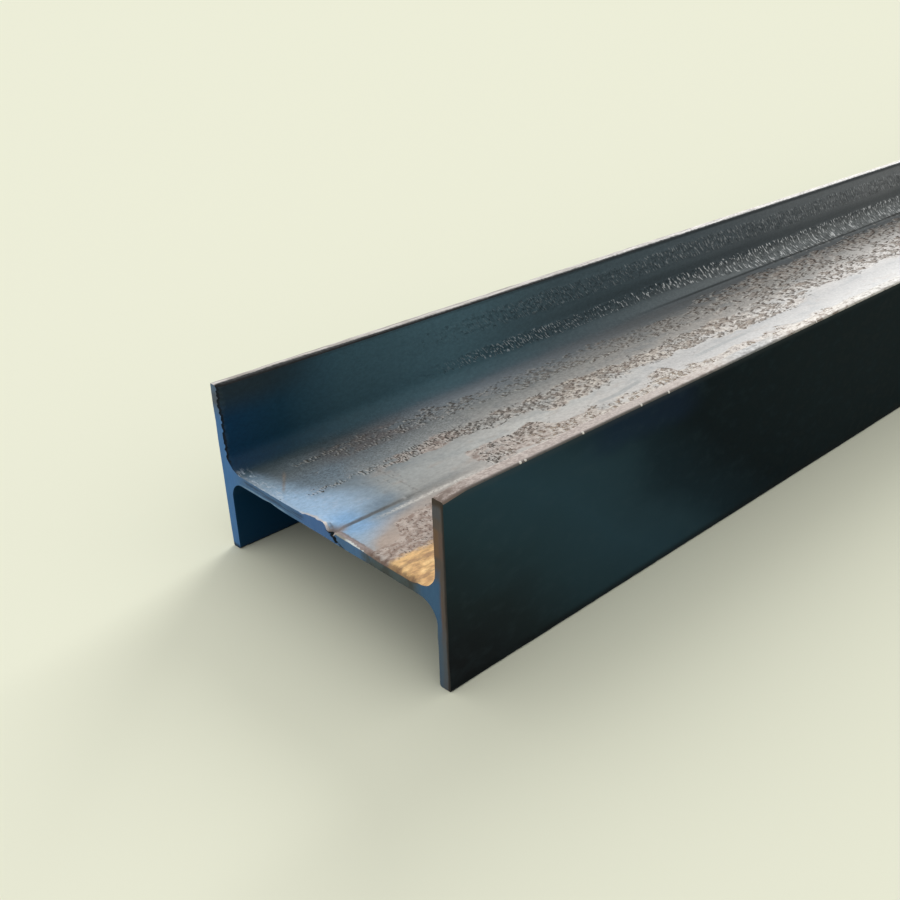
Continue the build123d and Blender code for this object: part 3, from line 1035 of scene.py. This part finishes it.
def cut_skin():
    """Flame-cut face: steel blue, a painted sky reflection, at the left and in the roots, browner
    at the right flange.
    """
    g = Graph("cut_skin")
    drag, cloud = g.noise((0.8, 3, 5), 3, 0.6), g.noise((5, 5, 5), 3, 0.6)
    for layer in (cut_base, cut_web, cut_flange):
        layer(g, drag, cloud)
    nick_and_crack_shade(g)
    return g.finish(g.ease(drag, 0.3, 0.7, 0.5, 0.65), g.dent(drag, 0.16, 0.6), 0.12)


def bead_skin():
    """Pale, dull drops of spatter."""
    g = Graph("bead_skin")
    speck = g.noise((0.4, 0.4, 0.4), 3, 0.6)
    g.colour = g.mix(speck, (186, 180, 172), (226, 222, 216))
    return g.finish(g.ease(speck, 0.3, 0.7, 0.5, 0.7), g.dent(speck, 0.08, 0.6), 0.2)


def build_beads():
    """Squashed drops of spatter on the outer corner of the right flange's upper edge."""
    lumps = bmesh.new()
    for number, (run, size) in enumerate(BEADS):
        made = bmesh.ops.create_icosphere(lumps, subdivisions=2, radius=size)["verts"]
        centre = Vector((HALF_DEPTH - size - 0.02, NEAR_END + run, WIDTH - size - 0.02))
        for vert in made:
            dent = 0.86 + 0.14 * lattice(vert.index, number, 0, 7)
            vert.co = (centre + Vector((vert.co.x * dent, vert.co.y * 1.25, vert.co.z * dent))) * MM
    mesh = bpy.data.meshes.new("spatter_beads")
    lumps.to_mesh(mesh)
    lumps.free()
    mesh.materials.append(bead_skin())
    return mesh


def add(name, data):
    """A new object in the scene."""
    thing = bpy.data.objects.new(name, data)
    bpy.context.scene.collection.objects.link(thing)
    return thing


# The pieces

beads = add("spatter_beads", build_beads())
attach(beads, "root")

mesh, kinds = build_beam()
materials = [rolled_skin(), outer_skin(), tip_skin(), cut_skin()]
for material in materials:
    mesh.materials.append(material)
slot_of = {OUTER: 1, TIP_EDGE: 2, CUT: 3}
mesh.polygons.foreach_set("material_index", [slot_of.get(kind, 0) for kind in kinds])
mesh.polygons.foreach_set("use_smooth", [True] * len(mesh.polygons))
mesh.update()
beam = add("rolled_beam", mesh)
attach(beam, "root")
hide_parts("i_beam")


# Floor, light and camera

FLOOR_HALF = 40.0
WORLD_STRENGTH = 0.83

# The sun: the heading it comes from, its height, its spread and its strength
SUN_HEADING, SUN_HEIGHT, SUN_SPREAD, SUN_STRENGTH = -24, 21, 30, 1.9
WHITE = (1.0, 1.0, 1.0)


def make_floor():
    """A wide, matt, pale floor."""
    size = FLOOR_HALF
    corners = [(-size, -size, 0), (size, -size, 0), (size, size, 0), (-size, size, 0)]
    ground = bpy.data.meshes.new("floor")
    ground.from_pydata(corners, [], [(0, 1, 2, 3)])
    g = Graph("floor_paint")
    g.shader.inputs["Base Color"].default_value = shade(232, 233, 212)
    g.shader.inputs["Roughness"].default_value = 1.0
    g.shader.inputs["Specular IOR Level"].default_value = 0.0
    ground.materials.append(g.material)
    floor = add("floor", ground)


def make_world():
    """Even white light from all round."""
    world = bpy.data.worlds.new("studio")
    world.use_nodes = True
    background = world.node_tree.nodes["Background"]
    background.inputs["Color"].default_value = (1.0, 1.0, 1.0, 1.0)
    background.inputs["Strength"].default_value = WORLD_STRENGTH
    bpy.context.scene.world = world


def make_sun(name, heading, height, spread, strength, colour):
    """A distant soft light from a compass heading, at a height and with a spread in degrees."""
    lamp = bpy.data.lights.new(name, "SUN")
    lamp.angle = math.radians(spread)
    lamp.energy = strength
    lamp.color = colour
    sun = add(name, lamp)
    a, h = math.radians(heading), math.radians(height)
    comes_from = Vector((math.sin(a) * math.cos(h), math.cos(a) * math.cos(h), math.sin(h)))
    sun.rotation_mode = "QUATERNION"
    sun.rotation_quaternion = (-comes_from).to_track_quat("-Z", "Y")


# Camera: where it stands from the middle of the near end's foot, its line of sight and its tilt
CAMERA_AT = (231.9, -151.36, 191.6)
CAMERA_LOOK = (-0.6695, 0.5969, -0.44213)
CAMERA_ROLL = -2.2123
CAMERA_LENS = 40.481
CAMERA_SENSOR = 36.0


def make_camera():
    """The photo's camera."""
    data = bpy.data.cameras.new("camera")
    data.lens = CAMERA_LENS
    data.sensor_width = CAMERA_SENSOR
    data.clip_start = 0.01
    data.clip_end = 200.0
    camera = add("camera", data)
    camera.location = (CAMERA_AT[0] * MM, (NEAR_END + CAMERA_AT[1]) * MM, CAMERA_AT[2] * MM)
    camera.rotation_mode = "QUATERNION"
    aim = Vector(CAMERA_LOOK).to_track_quat("-Z", "Y")
    camera.rotation_quaternion = aim @ Quaternion((0, 0, 1), math.radians(CAMERA_ROLL))
    bpy.context.scene.camera = camera


make_floor()
make_world()
make_sun("back_light", SUN_HEADING, SUN_HEIGHT, SUN_SPREAD, SUN_STRENGTH, WHITE)
make_camera()
bpy.context.scene.view_settings.view_transform = "Standard"
